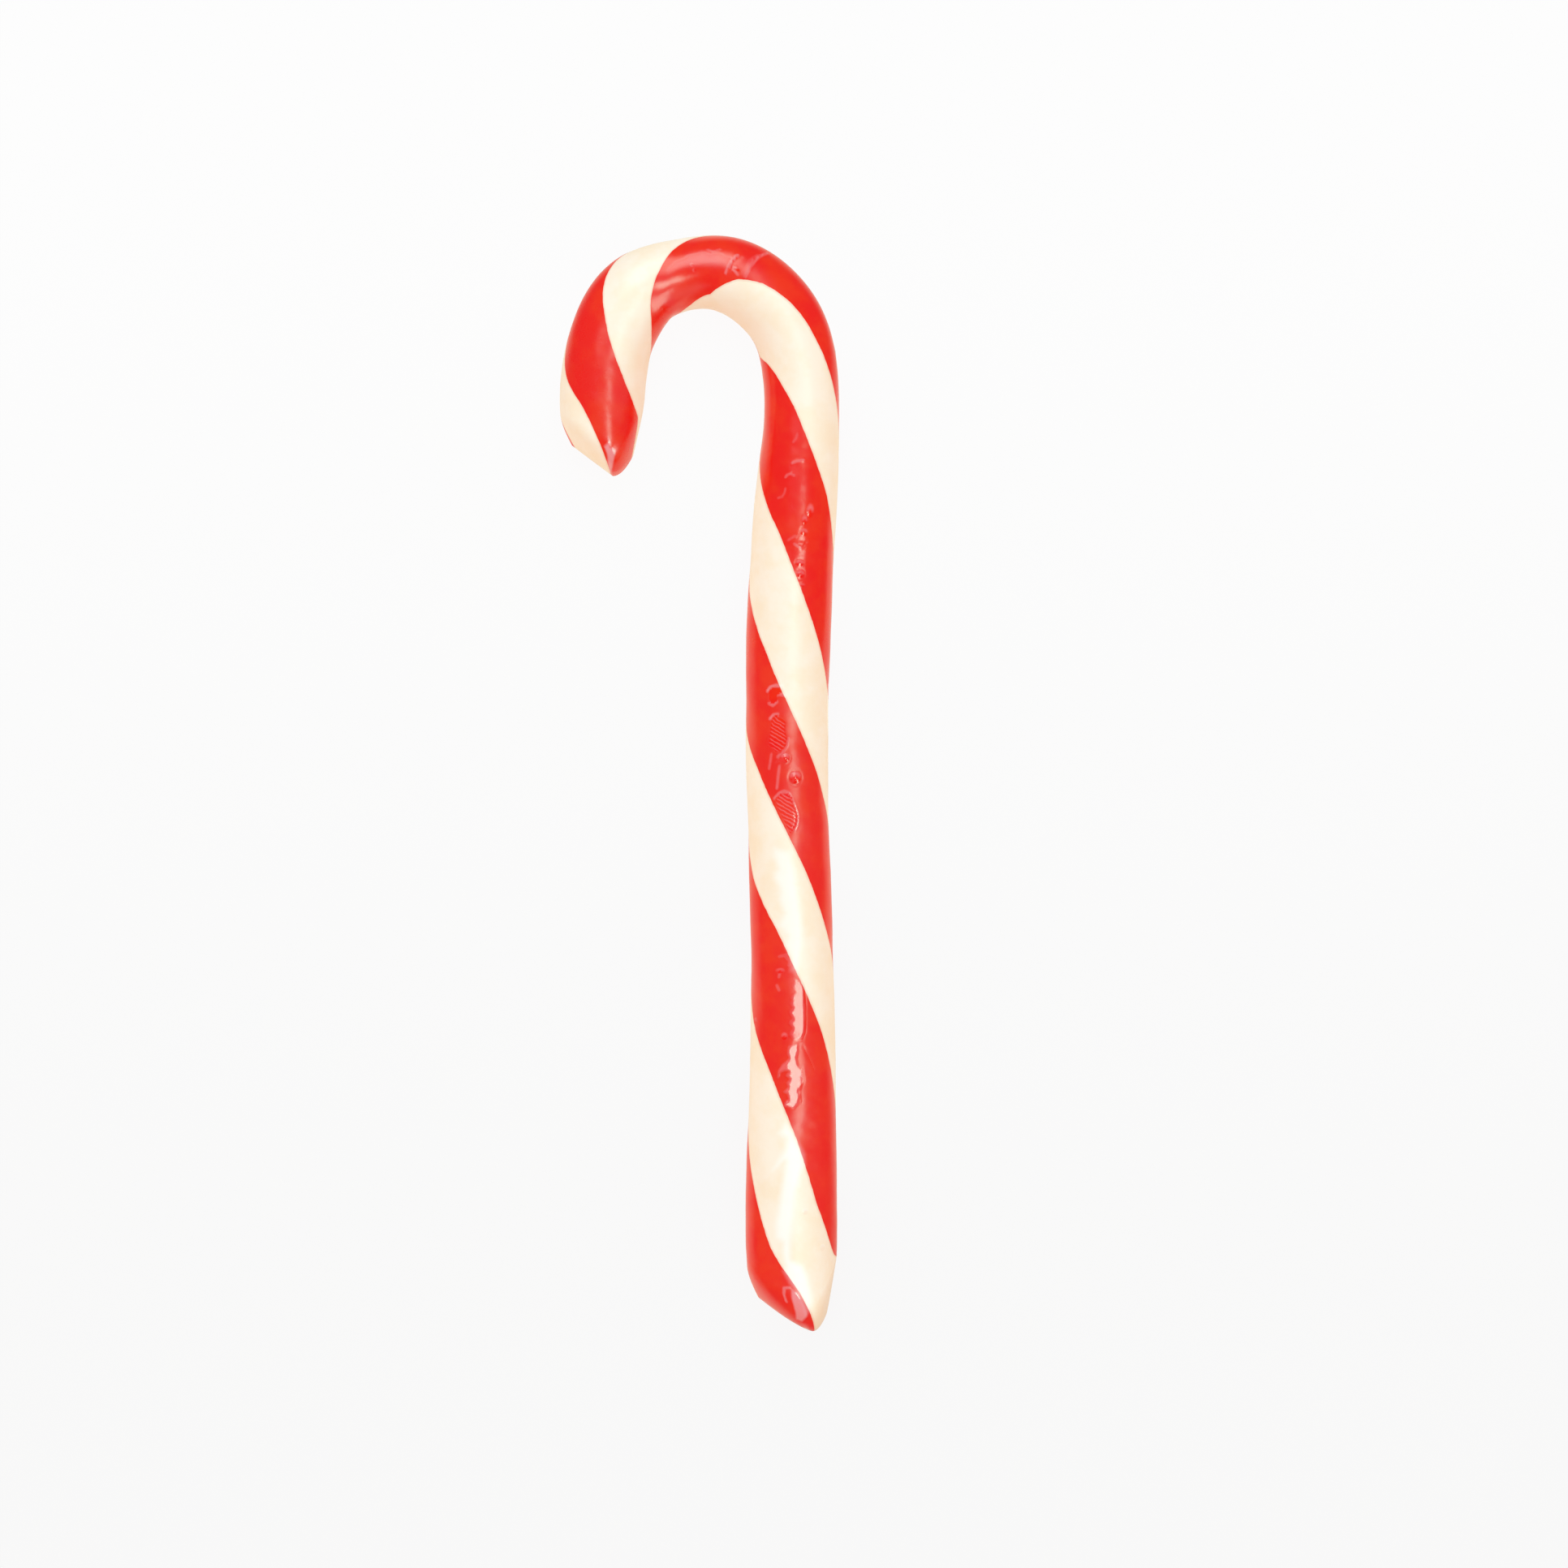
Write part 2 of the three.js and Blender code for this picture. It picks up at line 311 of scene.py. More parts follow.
# [half width, height, points] of thin lines, raised or, where the height is negative, scratched in
ridgeMarks = [
    [0.20, 0.09, [[88.6, -2.8], [89.1, -2.4], [89.35, -1.6], [89.2, -0.8]]],
    [0.15, 0.06, [[86.9, -2.6], [86.6, -2.0], [87.1, -1.4]]],
    [0.15, 0.06, [[88.15, -1.5], [88.1, -0.9], [88.0, -0.3]]],
    [0.18, 0.08, [[84.8, -2.4], [85.35, -1.9], [85.4, -1.3]]],
    [0.14, 0.05, [[82.1, 0.2], [81.1, 0.0], [80.3, -0.5], [79.6, -1.3]]],
    [0.13, 0.04, [[80.0, -2.2], [78.9, -2.4], [78.0, -2.6]]],
    [0.13, 0.05, [[78.3, -1.1], [76.9, -1.3], [75.3, -1.5]]],
    [0.16, 0.06, [[73.9, -1.9], [74.6, -1.2], [74.9, -0.5], [74.6, 0.2]]],
    [0.15, 0.05, [[74.6, 0.2], [73.0, 0.9], [71.5, 1.4], [70.3, 1.3], [69.5, 0.9]]],
    [0.13, 0.07, [[150.2, 2.6], [150.7, 1.4], [151.0, -0.4]]],
    [0.13, -0.05, [[149.85, 2.5], [150.4, 1.2], [150.65, -0.5]]],
    [0.11, 0.06, [[147.5, 5.9], [148.1, 3.6], [148.3, 1.7], [148.2, 0.1]]],
    [0.10, 0.02, [[148.2, 4.1], [148.7, 2.6], [148.7, 0.2]]],
    [0.13, 0.06, [[150.0, 0.3], [149.3, -0.1]]],
    [0.12, 0.03, [[153.6, 2.7], [152.9, 2.4], [152.2, 2.9]]],
    [0.14, -0.04, [[162.1, -4.3], [161.4, -5.2], [160.5, -5.9]]],
    [0.11, 0.012, [[159.1, 0.5], [157.8, 1.5], [156.6, 1.7], [156.0, 2.1], [154.8, 2.2], [154.3, 2.5],
                   [153.3, 2.0], [152.3, 2.4], [151.4, 1.9], [150.9, 2.0]]],
    [0.13, 0.06, [[119.9, -0.9], [120.2, -0.2], [120.4, 0.6]]],
    [0.09, 0.05, [[117.9, -1.7], [118.2, -1.5], [118.4, -1.1], [118.2, -0.5]]],
    [0.08, 0.03, [[116.3, -1.6], [115.7, -1.7], [115.2, -2.0], [115.0, -2.6]]],
    [0.10, 0.03, [[122.8, -1.0], [123.3, -0.6], [124.0, -0.5]]],
    [0.10, 0.03, [[109.3, -0.7], [109.9, 0.2]]],
    [0.12, 0.06, [[108.8, 0.2], [108.3, 1.1]]],
    [0.12, -0.05, [[109.6, 0.6], [109.2, 1.9], [108.4, 1.4]]],
    [0.15, 0.04, [[50.1, -1.7], [49.4, -1.9]]],
    [0.13, 0.03, [[52.4, -0.8], [52.2, -1.8]]],
    [0.13, 0.03, [[52.3, -1.0], [51.4, -0.3], [51.0, -0.5]]],
    [0.15, 0.04, [[48.2, -2.2], [47.6, -1.9]]],
    [0.14, -0.03, [[39.9, 1.4], [36.6, 3.0]]],
    [0.14, -0.05, [[48.4, 1.65], [45.4, 1.85], [43.4, 1.85], [41.8, 1.75], [40.9, 1.4], [40.4, 0.2]]],
    [0.14, -0.05, [[37.0, 1.2], [35.2, 1.55], [34.0, 1.0], [32.2, 1.1]]],
    [0.13, 0.08, [[5.9, -0.4], [5.4, -1.2], [4.3, -1.2], [3.3, -0.9]]],
]

# How the marks' edges and surfaces run. Edges are [outside, inside] the outline.
marking = {
    "filmReach": 1.5,  # how far outside a mark the skin is worked out
    "dropReach": 2.2,
    "filmEdge": [-0.18, 0.12],
    "paintedSheenEdge": [-0.5, 0.9],
    "combEdge": [-0.1, 0.3],
    "flatness": [-0.12, 0.16],  # how far a flat spot lies below and above the round stick at most
    "dropPower": 1.2,
    "dropMoat": [0.25, 1.2, 0.2],  # depth, place and width of the hollow round a drop, as shares of the drop
    "dropPaintedGlint": 0.5,
    "paintedGlintAcross": [0.1, 0.7],  # a painted highlight pales a drop from its middle outwards, and on its side towards the crook, which faces the glints
    "paintedGlintAlong": [-0.3, 0.6],
    "ridgeShare": 0.7,  # the share of a line's width that is glossy
    "glossyHeight": 0.02,  # lower lines than this are dull
    "glossyRidge": 0.9,
    "dullRidge": 0.2,
    "ridgePaintedGlint": 11,  # painted highlight on a raised line, for each millimetre of height
    "mostRidgePaintedGlint": 0.8,
}

# More marks of the same kinds on the sides and underneath, placed by dice so that no side is bare.
looseMarks = {
    "seed": 7,
    "fromBase": 6,
    "fromHook": 8,
    "angle": [80, 150],  # degrees from the top line, to either side
    "drops": 26,
    "dropLength": [0.4, 0.9],
    "dropWidth": [0.4, 0.8],
    "dropHeight": [0.03, 0.06],
    "ridges": 22,
    "ridgeReach": [0.6, 1.6],
    "ridgeBend": 0.3,
    "ridgeSteps": [0, 0.6, 1.2, 1.8],
    "ridgeWidth": 0.25,
    "ridgeHeights": [-0.04, 0.05],
    "films": 9,
    "filmLength": [2, 4.5],
    "filmWidth": [0.7, 1.3],
    "filmCorners": 18,
    "filmRaggedness": [0.75, 1.15],
}


def throwLooseMarks():
    dice = np.random.default_rng(looseMarks["seed"])

    def thrown(name):
        return dice.uniform(*looseMarks[name])

    def place():
        along = dice.uniform(looseMarks["fromBase"], stick["length"] - looseMarks["fromHook"])
        angle = thrown("angle") * dice.choice([-1, 1])
        return along, math.radians(angle) * float(radiusAt(along))

    for _ in range(looseMarks["drops"]):
        along, around = place()
        dropMarks.append([along, around, thrown("dropLength"), thrown("dropWidth"), thrown("dropHeight")])
    for _ in range(looseMarks["ridges"]):
        along, around = place()
        heading = dice.uniform(-1, 1)
        reach = thrown("ridgeReach")
        points = []
        for step in looseMarks["ridgeSteps"]:
            bent = heading + step * looseMarks["ridgeBend"]
            points.append([along + reach * step * math.cos(bent), around + reach * step * math.sin(heading)])
        ridgeMarks.append([looseMarks["ridgeWidth"], dice.choice(looseMarks["ridgeHeights"]), points])
    for _ in range(looseMarks["films"]):
        along, around = place()
        length = thrown("filmLength")
        width = thrown("filmWidth")
        outline = []
        for corner in range(looseMarks["filmCorners"]):
            angle = corner * 2 * math.pi / looseMarks["filmCorners"]
            reach = thrown("filmRaggedness")
            outline.append([along + length * reach * math.cos(angle), around + width * reach * math.sin(angle)])
        films.append({"gloss": 0.9, "rise": 0.02, "frostAndPaintedGlint": 0.1, "outline": outline})


def distanceToLine(points, along, around):
    nearest = np.full(along.shape, 9.0)
    for start, finish in zip(points[:-1], points[1:]):
        run = np.array(finish) - np.array(start)
        part = np.clip(((along - start[0]) * run[0] + (around - start[1]) * run[1]) / (run @ run), 0, 1)
        gap = np.hypot(along - start[0] - part * run[0], around - start[1] - part * run[1])
        nearest = np.minimum(nearest, gap)
    return nearest


def insideOutline(outline, along, around):  # millimetres from the outline, positive inside
    nearest = distanceToLine(outline + outline[:1], along, around)
    inside = np.zeros(along.shape, bool)
    for start, finish in zip(outline, outline[1:] + outline[:1]):
        spans = (start[1] > around) != (finish[1] > around)
        crossing = start[0] + (around - start[1]) * (finish[0] - start[0]) / (finish[1] - start[1] + 1e-9)
        inside ^= spans & (along < crossing)
    return np.where(inside, nearest, -nearest)


def nearPlaces(points, margin, along, around):  # only the places near a mark are worked out
    low = np.min(points, axis=0) - margin
    high = np.max(points, axis=0) + margin
    return (along > low[0]) & (along < high[0]) & (around > low[1]) & (around < high[1])


def pressMarks(along, around):
    relief = np.zeros(along.shape)
    filmGap = np.full(along.shape, -marking["filmReach"])
    gloss = np.zeros(along.shape)
    frostAndPaintedGlint = np.zeros(along.shape)
    comb = np.zeros(along.shape)
    paintedSheen = np.zeros(along.shape)

    def paint(near, gap, shine, paintedGlintAndFrost):  # where marks overlap, the one that reaches farther shows, with its frost and painted highlight
        farther = gap > filmGap[near]
        filmGap[near] = np.maximum(gap, filmGap[near])
        gloss[near] = np.where(farther, shine, gloss[near])
        frostAndPaintedGlint[near] = np.where(farther, paintedGlintAndFrost, frostAndPaintedGlint[near])

    for film in films:
        near = nearPlaces(film["outline"], marking["filmReach"], along, around)
        gap = insideOutline(film["outline"], along[near], around[near])
        # A painted sheen only pales the sugar, as a painted highlight.
        if "paintedSheen" in film:
            paintedSheen[near] = np.maximum(paintedSheen[near], film["paintedSheen"] * smoothStep(gap, *marking["paintedSheenEdge"]))
            continue
        edge = smoothStep(gap, *marking["filmEdge"])
        if "faces" in film:
            level = (around[near] - film["faces"]) ** 2 / (2 * stick["meanRadius"])
            relief[near] += np.clip(level - level[gap > 0].mean(), *marking["flatness"]) * edge
        relief[near] += film["rise"] * edge
        paint(near, gap, film["gloss"], film["frostAndPaintedGlint"])
        comb[near] = np.maximum(comb[near], film.get("comb", 0) * smoothStep(gap, *marking["combEdge"]))
    for place, side, length, width, height in dropMarks:
        near = nearPlaces([[place, side]], marking["dropReach"], along, around)
        far = np.hypot((along[near] - place) / length, (around[near] - side) / width)
        depth, middle, spread = marking["dropMoat"]
        moat = height * depth * np.exp(-((far - middle) / spread) ** 2)
        relief[near] += height * np.clip(1 - far ** 2, 0, 1) ** marking["dropPower"] - moat
        # Painted highlight: each drop is paled on its side towards the crook, where a bump would catch the
        # glints.
        glintSide = smoothStep((along[near] - place) / length, *marking["paintedGlintAlong"])
        paintedGlintAndFrost = smoothStep(far, *marking["paintedGlintAcross"]) * glintSide * marking["dropPaintedGlint"]
        paint(near, (1 - far) * min(length, width), 1.0, paintedGlintAndFrost)
    for width, height, points in ridgeMarks:
        near = nearPlaces(points, marking["filmReach"], along, around)
        gap = distanceToLine(points, along[near], around[near])
        relief[near] += height * np.exp(-(gap / width) ** 2)
        shine = marking["glossyRidge"] if height > marking["glossyHeight"] else marking["dullRidge"]
        # Painted highlight: raised lines are paled as if they caught the glints.
        paintedGlintAndFrost = np.clip(height * marking["ridgePaintedGlint"], 0, marking["mostRidgePaintedGlint"])
        paint(near, width * marking["ridgeShare"] - gap, shine, paintedGlintAndFrost)
    return relief, filmGap, gloss, frostAndPaintedGlint, comb, paintedSheen


def stickRows():  # rows lie closest where the marks are fine and at the pinched tips
    places, steps = np.array(stick["rowStep"]).T
    rows = list(stick["tipRows"])
    while rows[-1] < stick["length"] - stick["rowsEnd"]:
        rows.append(rows[-1] + float(np.interp(rows[-1], places, steps)))
    return np.array(rows[:-1] + [stick["length"] - near for near in reversed(stick["tipRows"])])


def surfaceWaves(along, around, turned):  # they fade out underneath, and mostly on the crown too
    calm = stick["calmShare"] * smoothStep(along, *stick["calmStart"])
    calm = calm * (1 - smoothStep(along, *stick["calmEnd"]))
    lively = np.cos(turned / 2) ** 2 * (1 - calm)
    return waviness(stick["waves"], along, around) * lively, waviness(stick["ripples"], along, around) * lively


def bendStick(along, turned, radius):  # carries the straight stick's skin to where it is on the cane
    nearBase = along < stick["length"] / 2
    fromTip = np.where(nearBase, along, stick["length"] - along)
    across = radius * np.sin(turned)
    up = radius * np.cos(turned)
    baseParts = pinch(baseEnd, fromTip, across, up)
    hookParts = pinch(hookEnd, fromTip, across, up)
    back, across, up = [np.where(nearBase, one, other) for one, other in zip(baseParts, hookParts)]
    bentAlong = np.where(nearBase, along + back, along - back)

    places, lineX, lineY = middleLine()
    heading = np.radians(headingAt(bentAlong))
    x = np.interp(bentAlong, places, lineX) + across * np.sin(heading)
    y = np.interp(bentAlong, places, lineY) - across * np.cos(heading)
    z = np.maximum(heightAt(bentAlong) + up, 0)
    x = x - (x.min() + x.max()) / 2
    y = y - (y.min() + y.max()) / 2
    grid = np.stack((x, y, z), axis=-1)
    tips = [grid[0].mean(axis=0), grid[-1].mean(axis=0)]
    return np.concatenate((grid.reshape(-1, 3), tips)) * mm + [caneMiddle.x, caneMiddle.y, caneLow.z]


def skinFaces(rowCount, columns):  # four-sided all along the stick, and a fan of three-sided ones on each tip
    row, column = np.meshgrid(np.arange(rowCount - 1), np.arange(columns), indexing="ij")
    following = (column + 1) % columns
    quads = np.stack((row * columns + column, row * columns + following,
                      (row + 1) * columns + following, (row + 1) * columns + column), axis=-1)
    faces = quads.reshape(-1, 4).tolist()
    lastRow = (rowCount - 1) * columns
    baseTip = rowCount * columns
    for column in range(columns):
        following = (column + 1) % columns
        faces.append((baseTip, following, column))
        faces.append((baseTip + 1, lastRow + column, lastRow + following))
    return faces


def buildCane():
    rows = stickRows()
    columnAngle = np.concatenate([np.arange(low, high, step) for low, high, step in stick["columnSteps"]])
    along, angle = np.meshgrid(rows, columnAngle, indexing="ij")
    strandAngle = angle + twistAt(along)
    turned = np.radians(angle)  # from the top line towards the outer side
    around = turned * radiusAt(along)

    relief, filmGap, gloss, frostAndPaintedGlint, comb, paintedSheen = pressMarks(along, around)
    groove = ((1 + np.cos(stick["strandCount"] * np.radians(strandAngle))) / 2) ** 2
    relief += stick["grooveDepth"] * (stick["grooveBalance"] - groove)
    for waves in surfaceWaves(along, around, turned):
        relief += waves
    radius = radiusAt(along) + relief

    mesh = bpy.data.meshes.new("candyCane")
    faces = skinFaces(len(rows), len(columnAngle))
    mesh.from_pydata(bendStick(along, turned, radius).tolist(), [], faces)
    mesh.shade_smooth()

    redPart = redGap(along, strandAngle) * math.pi / 180 * radius
    dullness = np.interp(along, *np.array(candy["dullness"], float).T)
    combAlong, combAround = candy["combDirection"]
    combPhase = (along * combAlong + around * combAround) / candy["combSpacing"]
    numbers = {"redPart": redPart, "filmGap": filmGap, "filmGloss": gloss, "frostAndPaintedGlint": frostAndPaintedGlint, "paintedSheen": paintedSheen,
               "comb": comb, "combPhase": combPhase, "dullness": dullness}
    for name, values in numbers.items():
        values = np.concatenate((values.reshape(-1), [values[0].mean(), values[-1].mean()])).astype(np.float32)
        mesh.attributes.new(name, "FLOAT", "POINT").data.foreach_set("value", values)
    addMap(mesh, rows, columnAngle)
    piece = bpy.data.objects.new("candyCane", mesh)
    bpy.context.collection.objects.link(piece)
    triangles = sum(len(face) - 2 for face in faces)
    print("cane mesh:", len(rows), "rows,", len(columnAngle), "columns,", triangles, "triangles")
    return piece


# The skin is cut along its underside and laid out as two strips, the base's half beside the hook's.
skinMap = {"left": 0.015, "width": 0.47, "nextStrip": 0.5, "bottom": 0.01, "height": 0.97, "tip": 0.004}


def addMap(mesh, rows, columnAngle):
    columns = len(columnAngle)
    count = len(rows)
    edges = np.concatenate((columnAngle, [180])) / 360 + 0.5
    corner = np.zeros(len(mesh.loops), dtype=np.int32)
    mesh.loops.foreach_get("vertex_index", corner)
    starts = np.zeros(len(mesh.polygons), dtype=np.int32)
    mesh.polygons.foreach_get("loop_start", starts)
    faceOf = np.searchsorted(starts, np.arange(len(corner)), side="right") - 1
    quadCount = (count - 1) * columns
    faceColumn = np.where(faceOf < quadCount, faceOf % columns, (faceOf - quadCount) // 2)
    fanRow = np.where((faceOf - quadCount) % 2 == 0, 0, count - 2)
    faceRow = np.where(faceOf < quadCount, faceOf // columns, fanRow)
    column = np.where((corner % columns == 0) & (faceColumn == columns - 1), columns, corner % columns)
    row = np.minimum(corner // columns, count - 1)
    isTip = corner >= count * columns
    around = np.where(isTip, (edges[faceColumn] + edges[faceColumn + 1]) / 2, edges[column])
    row = np.where(isTip & (corner == count * columns), 0, row)
    half = stick["length"] / 2
    hookHalf = rows[faceRow] >= half
    halfStart = np.where(hookHalf, rows[np.searchsorted(rows, half)], 0)
    u = skinMap["left"] + around * skinMap["width"] + np.where(hookHalf, skinMap["nextStrip"], 0)
    v = skinMap["bottom"] + (rows[row] - halfStart) / (half + 1) * skinMap["height"]
    v = v + np.where(isTip, np.where(hookHalf, skinMap["tip"], -skinMap["tip"]), 0)
    layer = mesh.uv_layers.new(name="OFBake")
    layer.data.foreach_set("uv", np.stack((u, v), axis=-1).astype(np.float32).reshape(-1))


class Socket:  # a node's output that takes part in Python arithmetic
    def __init__(self, maker, link):
        self.maker = maker
        self.link = link

    def sum(self, operation, first, second):
        return self.maker.node("ShaderNodeMath", {"operation": operation}, {0: first, 1: second})

    def __add__(self, other):
        return self.sum("ADD", self, other)

    def __radd__(self, other):
        return self.sum("ADD", other, self)

    def __sub__(self, other):
        return self.sum("SUBTRACT", self, other)

    def __rsub__(self, other):
        return self.sum("SUBTRACT", other, self)

    def __mul__(self, other):
        return self.sum("MULTIPLY", self, other)

    def __rmul__(self, other):
        return self.sum("MULTIPLY", other, self)


class Finish:  # a material or the world, and the one way of adding nodes to it
    def __init__(self, owner):
        self.owner = owner
        owner.use_nodes = True
        self.tree = owner.node_tree
        self.tree.nodes.clear()

    def node(self, kind, settings=None, sockets=None, output=0):
        made = self.tree.nodes.new(kind)
        for name, value in (settings or {}).items():
            setattr(made, name, value)
        for name, value in (sockets or {}).items():
            if isinstance(value, Socket):
                self.tree.links.new(value.link, made.inputs[name])
            else:
                made.inputs[name].default_value = value
        return Socket(self, made.outputs[output]) if made.outputs else None

    def number(self, name):  # one of the mesh's own numbers
        return self.node("ShaderNodeAttribute", {"attribute_name": name}, {}, "Fac")

    def ramp(self, value, low, high):  # from 0 at low to 1 at high
        sockets = {"Value": value, "From Min": low, "From Max": high}
        return self.node("ShaderNodeMapRange", {"interpolation_type": "SMOOTHSTEP"}, sockets)

    def mix(self, share, first, second):
        return self.node("ShaderNodeMix", {"data_type": "RGBA"}, {0: share, 6: first, 7: second}, 2)

    def noise(self, place, scale, detail=2.0, roughness=0.5):
        sockets = {"Vector": place, "Scale": scale, "Detail": detail, "Roughness": roughness}
        return self.node("ShaderNodeTexNoise", {}, sockets, "Fac")

    def finish(self, surface, kind="ShaderNodeOutputMaterial"):
        self.node(kind, {}, {"Surface": surface})
        return self.owner


def linear(red, green, blue):  # a screen colour as the renderer's light values
    values = [value / 255 for value in (red, green, blue)]
    return (*[((v + 0.055) / 1.055) ** 2.4 if v > 0.04 else v / 12.92 for v in values], 1)


candy = {
    "red": linear(240, 40, 8),
    "deepRed": linear(238, 9, 8),
    "cream": linear(253, 241, 224),
    "warmCream": linear(252, 235, 210),
    "bleed": linear(238, 180, 155),
    "glintTint": (0.35, 1.0, 0.85, 1),
    # Painted highlight: the pale colours that films, drops, lines and sheens are whitened towards stand in for
    # the lights' glints, and partly for frost.
    "frostAndPaintedGlintOnCream": linear(255, 253, 247),
    "frostAndPaintedGlintOnRed": linear(240, 150, 155),
    "filmRoughness": 0.08,
    "creamDullness": 0.14,  # how much duller the cream strands are than the red
    "dullness": [[0, 0.3], [60, 0.31], [75, 0.33], [92, 0.3], [102, 0.22], [140, 0.24], [160, 0.24],
                 [168, 0.27], [191, 0.27]],
    "edgeWander": 0.16,  # how far the strands' and the films' edges stray, in millimetres
    "filmWander": 0.1,
    "edgeSoftness": 0.04,
    "bleedReach": 0.45,
    "bleedShare": 0.5,
    "frostAndPaintedGlintReach": [-0.25, 0.2],
    "combSpacing": 0.47,
    "combDirection": [0.85, 0.53],
    "combWander": 6,
    # how pale the thumb prints' lines are painted, as glints on their ridges
    "combPaintedGlint": 0.35,
    "combDepth": 0.35,
    "grainDepth": 0.5,
    "frost": 0.12,  # how much the dullness varies from spot to spot
    "wanderScale": 1100,  # of the noises, in waves per metre
    "mottleScale": 220,
    "frostScale": 420,
    "grainScale": 1800,
}


def candyFinish():
    finish = Finish(bpy.data.materials.new("pulledSugar"))
    place = finish.node("ShaderNodeTexCoord", {}, {}, "Object")
    wander = finish.noise(place, candy["wanderScale"], 2.0)
    edge = finish.number("redPart") + (wander - 0.5) * candy["edgeWander"]
    isRed = finish.ramp(edge, -candy["edgeSoftness"], candy["edgeSoftness"])
    bleed = finish.ramp(edge, -candy["bleedReach"], 0.0) * candy["bleedShare"]
    mottle = finish.noise(place, candy["mottleScale"], 3.0, 0.6)
    cream = finish.mix(finish.ramp(mottle, 0.35, 0.7), candy["cream"], candy["warmCream"])
    cream = finish.mix(bleed, cream, candy["bleed"])
    red = finish.mix(finish.ramp(mottle, 0.3, 0.65), candy["red"], candy["deepRed"])
    filmEdge = finish.number("filmGap") + (wander - 0.5) * candy["filmWander"]
    film = finish.ramp(filmEdge, -candy["edgeSoftness"], candy["edgeSoftness"])
    # Painted highlight and sheen: the marks' whitening and the pale runs are laid into the colour.
    frostAndPaintedGlint = finish.number("frostAndPaintedGlint") * finish.ramp(filmEdge, *candy["frostAndPaintedGlintReach"]) + finish.number("paintedSheen")
    cream = finish.mix(frostAndPaintedGlint, cream, candy["frostAndPaintedGlintOnCream"])
    # Painted highlight: the thumb prints' fine lines are painted pale, as the glints along their ridges.
    combTurn = finish.number("combPhase") * (2 * math.pi) + wander * candy["combWander"]
    comb = finish.node("ShaderNodeMath", {"operation": "SINE"}, {0: combTurn})
    paintedCombGlint = finish.ramp(comb, 0.0, 0.8) * finish.number("comb") * candy["combPaintedGlint"]
    red = finish.mix(paintedCombGlint, red, candy["frostAndPaintedGlintOnRed"])
    red = finish.mix(frostAndPaintedGlint, red, candy["frostAndPaintedGlintOnRed"])
    colour = finish.mix(isRed, cream, red)

    frost = finish.noise(place, candy["frostScale"], 3.0, 0.55)
    dull = finish.number("dullness") + (frost - 0.5) * candy["frost"]
    dull = dull + (1 - isRed) * candy["creamDullness"]
    polish = film * finish.number("filmGloss")
    rough = dull * (1 - polish) + candy["filmRoughness"] * polish
    grain = finish.noise(place, candy["grainScale"], 3.0, 0.6)
    height = comb * finish.number("comb") * candy["combDepth"] + grain * (1 - polish) * candy["grainDepth"]
    bump = finish.node("ShaderNodeBump", {}, {"Height": height, "Strength": 0.4, "Distance": 0.05 * mm})
    sugar = finish.node("ShaderNodeBsdfPrincipled", {}, {
        "Base Color": colour,
        "Roughness": rough,
        "IOR": 1.5,
        "Specular Tint": candy["glintTint"],
        "Normal": bump,
    })
    return finish.finish(sugar)


throwLooseMarks()
cane = buildCane()
cane.data.materials.append(candyFinish())
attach(cane, "root")
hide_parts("cane")
print("cane placed")


studio = {
    "frameWidth": 217.0,  # millimetres across the picture, at the cane's middle
    "aimAcross": 11.7,  # the picture's middle lies this far to the crook's outer side
    "aimAlong": -0.13,
    "lens": 100,
    "sensor": 36,
    "floorWidth": 6.0,
    "floorGap": 0.02,
    "glowReach": 0.11,  # the floor's glow changes over this length to either side of the middle
    "floorColour": (0.035, 0.035, 0.035, 1),
    "nearGlow": (0.905, 0.905, 0.905, 1),
    "farGlow": (0.945, 0.945, 0.945, 1),
    "sky": (0.95, 0.95, 0.95, 1),
    "ambient": (1.0, 0.78, 0.65, 1),  # warm light from all round, as light gives that has been inside the candy
    "skyShine": (0.2, 0.2, 0.2, 1),  # what the gloss mirrors of the sky, and of the floor close by and far off
    "nearShine": (0.95, 0.95, 0.78, 1),
    "farShine": (0.12, 0.12, 0.12, 1),
    "shineReach": [0.042, 0.095],  # half the width and half the length of the floor that shines
    "shineEdge": [0.75, 1.1],
}

# Boxes that light the candy's colours don't show in its gloss, and the glints show there alone. Lean is towards
# +Y and side towards +X, in degrees from straight above, each as [from, to].
softboxes = {
    "keyBox": {"lean": [10, 60], "side": [-20, 20], "away": 1.6, "brightness": 2.5, "colour": (0.2, 0.7, 1.0),
               "lights": True},
    "leftFill": {"lean": [-30, 30], "side": [-80, -40], "away": 1.6, "brightness": 0.2,
                 "colour": (0.3, 0.8, 1.0), "lights": True},
    "shaftGlint": {"lean": [-15, -1.5], "side": [4, 28], "away": 1.2, "brightness": 12.0, "lights": False},
    "baseGlint": {"lean": [-60, -26], "side": [42, 62], "away": 1.2, "brightness": 8.0, "lights": False},
    "crownGlint": {"lean": [20, 62], "side": [-22, 10], "away": 1.2, "brightness": 4.1, "lights": False},
}


def placeCamera():
    data = bpy.data.cameras.new("camera")
    data.lens = studio["lens"]
    data.sensor_width = studio["sensor"]
    camera = bpy.data.objects.new("camera", data)
    away = studio["frameWidth"] * mm * data.lens / data.sensor_width
    camera.location = (caneMiddle.x + studio["aimAcross"] * mm, caneMiddle.y + studio["aimAlong"] * mm,
                       caneMiddle.z + away)
    bpy.context.collection.objects.link(camera)
    bpy.context.scene.camera = camera


def seenBy(finish, camera, gloss):  # one look for the camera and one for the gloss, and else the ambient light
    inGloss = finish.node("ShaderNodeLightPath", {}, {}, "Is Glossy Ray")
    inCamera = finish.node("ShaderNodeLightPath", {}, {}, "Is Camera Ray")
    return finish.mix(inCamera, finish.mix(inGloss, studio["ambient"], gloss), camera)


